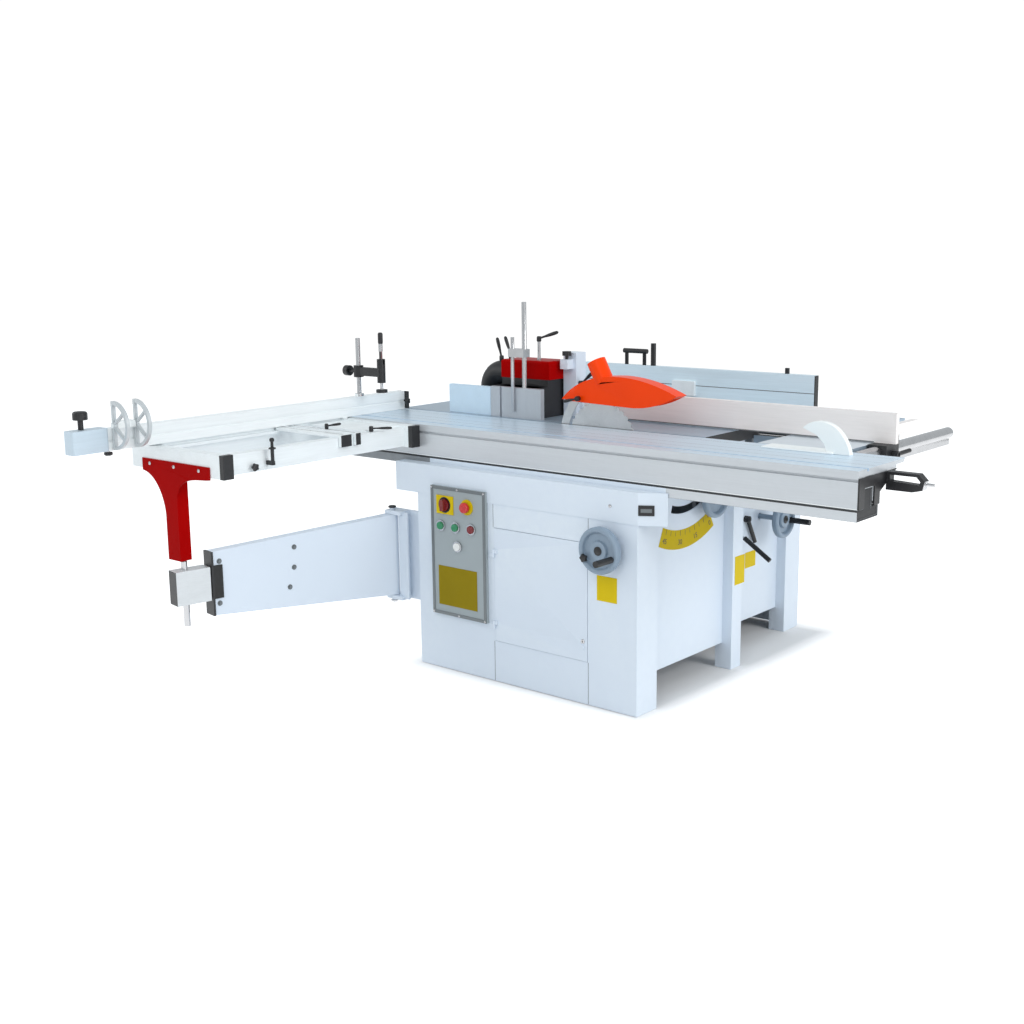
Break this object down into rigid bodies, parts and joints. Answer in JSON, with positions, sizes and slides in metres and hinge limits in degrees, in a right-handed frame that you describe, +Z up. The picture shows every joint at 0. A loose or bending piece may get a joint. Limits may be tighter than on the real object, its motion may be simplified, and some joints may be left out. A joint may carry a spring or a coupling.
{
  "type": "combination woodworking machine",
  "caption": "Combination woodworking machine: sliding-table circular saw, spindle moulder and surface planer with thicknesser on one sheet-steel cabinet.",
  "frame": {"origin": "floor point inside the front right foot, on the underside of the base frame", "axes": "+X right along the sliding table towards its push handle, +Y from the front panel to the rear, +Z up"},
  "size_m": [2.405, 2.442, 1.323],
  "materials": {
    "alu": "anodised, satin",
    "black_plastic": "matte",
    "green_plastic": "gloss",
    "grey_plastic": "satin",
    "iron": "ground, polished",
    "lamp_plastic": "gloss",
    "motor_paint": "satin",
    "orange_paint": "gloss",
    "pale_plastic": "satin",
    "panel_grey": "satin",
    "red_paint": "gloss",
    "red_plastic": "gloss",
    "rubber": "matte",
    "steel": "turned and ground",
    "wheel_paint": "painted, satin",
    "white_paint": "powder coat, satin"
  },
  "bodies": {
    "base": {"base_frame": "white_paint", "front_panel": "white_paint", "body_panels": "white_paint", "apron": "white_paint", "control_panel": "panel_grey", "guide_beam": "alu", "saw_table": "iron", "table_extensions": "iron", "rip_rail": "steel", "arm_bracket": "white_paint", "planer_body": "iron", "drive_motors": "motor_paint", "drive_belts": "rubber", "moulder_hood": "red_paint", "hood_fences": "alu"},
    "carriage": {"carriage": "alu", "end_caps": "black_plastic", "push_handle": "black_plastic", "edging_shoe": "pale_plastic", "outrigger_frame": "alu", "support_bracket": "red_paint"},
    "carrier": {"saw_carrier": "iron", "saw_motor": "motor_paint"},
    "blade": {"saw_arbor": "steel", "saw_blade": "steel"},
    "access_door": {"access_door": "white_paint"},
    "arm_tip": {"arm_tip": "alu"},
    "clamp_arm": {"clamp_arm": "black_plastic"},
    "clamp_lever": {"clamp_lever": "black_plastic"},
    "clamp_plunger": {"clamp_plunger": "steel"},
    "cross_slats": {"cross_slats": "alu"},
    "crosscut_fence": {"crosscut_fence": "alu"},
    "cutterblock": {"cutterblock": "steel"},
    "estop_button": {"estop_button": "red_plastic"},
    "feed_lever": {"feed_lever": "black_plastic"},
    "fence_extension": {"fence_extension": "grey_plastic"},
    "flip_stop_inner": {"flip_stop_inner": "wheel_paint"},
    "flip_stop_outer": {"flip_stop_outer": "wheel_paint"},
    "front_handwheel": {"front_handwheel": "wheel_paint"},
    "infeed_roller": {"infeed_roller": "steel"},
    "infeed_table": {"infeed_table": "iron"},
    "lamp_button": {"lamp_button": "lamp_plastic"},
    "main_switch_dial": {"main_switch_dial": "red_plastic"},
    "outfeed_roller": {"outfeed_roller": "steel"},
    "outfeed_table": {"outfeed_table": "iron"},
    "planer_fence": {"planer_fence": "alu"},
    "planer_handwheel": {"planer_handwheel": "wheel_paint"},
    "rip_fence": {"rip_fence": "alu"},
    "rip_lock_lever": {"rip_lock_lever": "black_plastic"},
    "saw_cradle": {"saw_cradle": "iron"},
    "saw_guard": {"saw_guard": "orange_paint"},
    "saw_handwheel": {"saw_handwheel": "wheel_paint"},
    "spindle": {"spindle": "steel"},
    "spindle_quill": {"spindle_quill": "steel"},
    "start_button_a": {"start_button_a": "green_plastic"},
    "start_button_b": {"start_button_b": "green_plastic"},
    "stop_button": {"stop_button": "red_plastic"},
    "swing_arm": {"swing_arm": "white_paint"},
    "table_lock_lever": {"table_lock_lever": "black_plastic"},
    "thickness_table": {"thickness_table": "iron"}
  },
  "joints": [
    {"name": "carriage_slide", "type": "slide", "parent": "base", "child": "carriage", "axis": [1, 0, 0], "range_m": [-0.6, 0.9]},
    {"name": "slat_slide", "type": "slide", "parent": "carriage", "child": "cross_slats", "axis": [0, 1, 0], "range_m": [-0.45, 0.06]},
    {"name": "mitre_swing", "type": "hinge", "parent": "carriage", "child": "crosscut_fence", "pos_m": [-1.35, -0.02, 0.89], "axis": [0, 0, 1], "range_deg": [-45, 0]},
    {"name": "fence_extend", "type": "slide", "parent": "crosscut_fence", "child": "fence_extension", "axis": [0, -1, 0], "range_m": [0, 0.35]},
    {"name": "inner_stop_flip", "type": "hinge", "parent": "crosscut_fence", "child": "flip_stop_inner", "pos_m": [-1.322, -0.972, 0.972], "axis": [0, -1, 0], "range_deg": [0, 90]},
    {"name": "outer_stop_flip", "type": "hinge", "parent": "crosscut_fence", "child": "flip_stop_outer", "pos_m": [-1.322, -1.037, 0.972], "axis": [0, -1, 0], "range_deg": [0, 90]},
    {"name": "clamp_height", "type": "slide", "parent": "crosscut_fence", "child": "clamp_arm", "axis": [0, 0, 1], "range_m": [-0.03, 0.08]},
    {"name": "clamp_lever_turn", "type": "hinge", "parent": "clamp_arm", "child": "clamp_lever", "pos_m": [-1.225, 0.07, 1.102], "axis": [0, 1, 0], "range_deg": [0, 80]},
    {"name": "clamp_press", "type": "slide", "parent": "clamp_arm", "child": "clamp_plunger", "axis": [0, 0, 1], "range_m": [-0.0125, 0]},
    {"name": "arm_swing", "type": "hinge", "parent": "base", "child": "swing_arm", "pos_m": [-1.065, -0.05, 0.4], "axis": [0, 0, 1], "range_deg": [-34, 51]},
    {"name": "arm_extend", "type": "slide", "parent": "swing_arm", "child": "arm_tip", "axis": [-0.1831, -0.9831, 0], "range_m": [0, 0.29]},
    {"name": "tilt_wheel_turn", "type": "hinge", "parent": "base", "child": "front_handwheel", "pos_m": [-0.069, -0.07, 0.556], "axis": [0, 1, 0], "range_deg": [0, 5400]},
    {"name": "saw_tilt", "type": "hinge", "parent": "base", "child": "saw_cradle", "pos_m": [-0.366, 0.318, 0.89], "axis": [-1, 0, 0], "range_deg": [0, 45]},
    {"name": "rise_wheel_turn", "type": "hinge", "parent": "saw_cradle", "child": "saw_handwheel", "pos_m": [0.01, 0.448, 0.67], "axis": [1, 0, 0], "range_deg": [-1, 4051]},
    {"name": "saw_rise", "type": "slide", "parent": "saw_cradle", "child": "carrier", "axis": [0, 0, 1], "range_m": [-0.045, 0]},
    {"name": "blade_spin", "type": "hinge", "parent": "carrier", "child": "blade", "pos_m": [-0.366, 0.318, 0.835], "axis": [0, 1, 0], "continuous": true},
    {"name": "guard_lift", "type": "hinge", "parent": "carrier", "child": "saw_guard", "pos_m": [-0.478, 0.318, 0.988], "axis": [0, -1, 0], "range_deg": [0, 20]},
    {"name": "spindle_rise", "type": "slide", "parent": "base", "child": "spindle_quill", "axis": [0, 0, 1], "range_m": [-0.06, 0.03]},
    {"name": "spindle_spin", "type": "hinge", "parent": "spindle_quill", "child": "spindle", "pos_m": [-0.79, 0.44, 0.7], "axis": [0, 0, 1], "continuous": true},
    {"name": "cutterblock_spin", "type": "hinge", "parent": "base", "child": "cutterblock", "pos_m": [-0.5, 0.944, 0.843], "axis": [0, 1, 0], "continuous": true},
    {"name": "outfeed_roller_spin", "type": "hinge", "parent": "base", "child": "outfeed_roller", "pos_m": [-0.585, 0.944, 0.8], "axis": [0, 1, 0], "continuous": true},
    {"name": "infeed_roller_spin", "type": "hinge", "parent": "base", "child": "infeed_roller", "pos_m": [-0.415, 0.944, 0.8], "axis": [0, 1, 0], "continuous": true},
    {"name": "height_wheel_turn", "type": "hinge", "parent": "base", "child": "planer_handwheel", "pos_m": [-0.025, 0.991, 0.49], "axis": [1, 0, 0], "range_deg": [-1801, 3601]},
    {"name": "thickness_rise", "type": "slide", "parent": "base", "child": "thickness_table", "axis": [0, 0, 1], "range_m": [-0.05, 0.1]},
    {"name": "tables_open", "type": "hinge", "parent": "base", "child": "outfeed_table", "pos_m": [-0.685, 1.18, 0.86], "axis": [1, 0, 0], "range_deg": [-85, 0]},
    {"name": "infeed_open", "type": "hinge", "parent": "base", "child": "infeed_table", "pos_m": [-0.315, 1.18, 0.86], "axis": [1, 0, 0], "range_deg": [-85, 0]},
    {"name": "planer_fence_slide", "type": "slide", "parent": "outfeed_table", "child": "planer_fence", "axis": [0, 1, 0], "range_m": [-0.25, 0]},
    {"name": "rip_slide", "type": "slide", "parent": "base", "child": "rip_fence", "axis": [0, 1, 0], "range_m": [-0.12, 0.4]},
    {"name": "rip_lock", "type": "hinge", "parent": "rip_fence", "child": "rip_lock_lever", "pos_m": [0.655, 0.515, 0.862], "axis": [1, 0, 0], "range_deg": [-60, 0]},
    {"name": "door_swing", "type": "hinge", "parent": "base", "child": "access_door", "pos_m": [-0.561, -0.0568, 0.356], "axis": [0, 0, 1], "range_deg": [-100, 0]},
    {"name": "main_switch_turn", "type": "hinge", "parent": "base", "child": "main_switch_dial", "pos_m": [-0.78, -0.064, 0.62], "axis": [0, 1, 0], "range_deg": [0, 90]},
    {"name": "estop_press", "type": "slide", "parent": "base", "child": "estop_button", "axis": [0, 1, 0], "range_m": [0, 0.006], "stiffness_N_per_m": 800},
    {"name": "start_button_a_press", "type": "slide", "parent": "base", "child": "start_button_a", "axis": [0, 1, 0], "range_m": [0, 0.004], "stiffness_N_per_m": 500},
    {"name": "start_button_b_press", "type": "slide", "parent": "base", "child": "start_button_b", "axis": [0, 1, 0], "range_m": [0, 0.004], "stiffness_N_per_m": 500},
    {"name": "stop_button_press", "type": "slide", "parent": "base", "child": "stop_button", "axis": [0, 1, 0], "range_m": [0, 0.004], "stiffness_N_per_m": 500},
    {"name": "lamp_button_press", "type": "slide", "parent": "base", "child": "lamp_button", "axis": [0, 1, 0], "range_m": [0, 0.004], "stiffness_N_per_m": 500},
    {"name": "feed_lever_turn", "type": "hinge", "parent": "base", "child": "feed_lever", "pos_m": [-0.147, 0.849, 0.43], "axis": [0, -1, 0], "range_deg": [0, 30]},
    {"name": "table_lock_turn", "type": "hinge", "parent": "base", "child": "table_lock_lever", "pos_m": [-0.095, 0.882, 0.496], "axis": [1, 0, 0], "range_deg": [0, 40]}
  ],
  "couplings": [
    {"joint": "arm_swing", "follows": "carriage_slide", "rad_per_m": 0.98},
    {"joint": "clamp_press", "follows": "clamp_lever_turn", "m_per_rad": -0.0086},
    {"joint": "saw_tilt", "follows": "tilt_wheel_turn", "ratio": 0.0083333},
    {"joint": "rise_wheel_turn", "follows": "saw_rise", "rad_per_m": -1570.8},
    {"joint": "height_wheel_turn", "follows": "thickness_rise", "rad_per_m": 628.32},
    {"joint": "infeed_open", "follows": "tables_open", "ratio": 1},
    {"joint": "infeed_roller_spin", "follows": "outfeed_roller_spin", "ratio": 1}
  ]
}
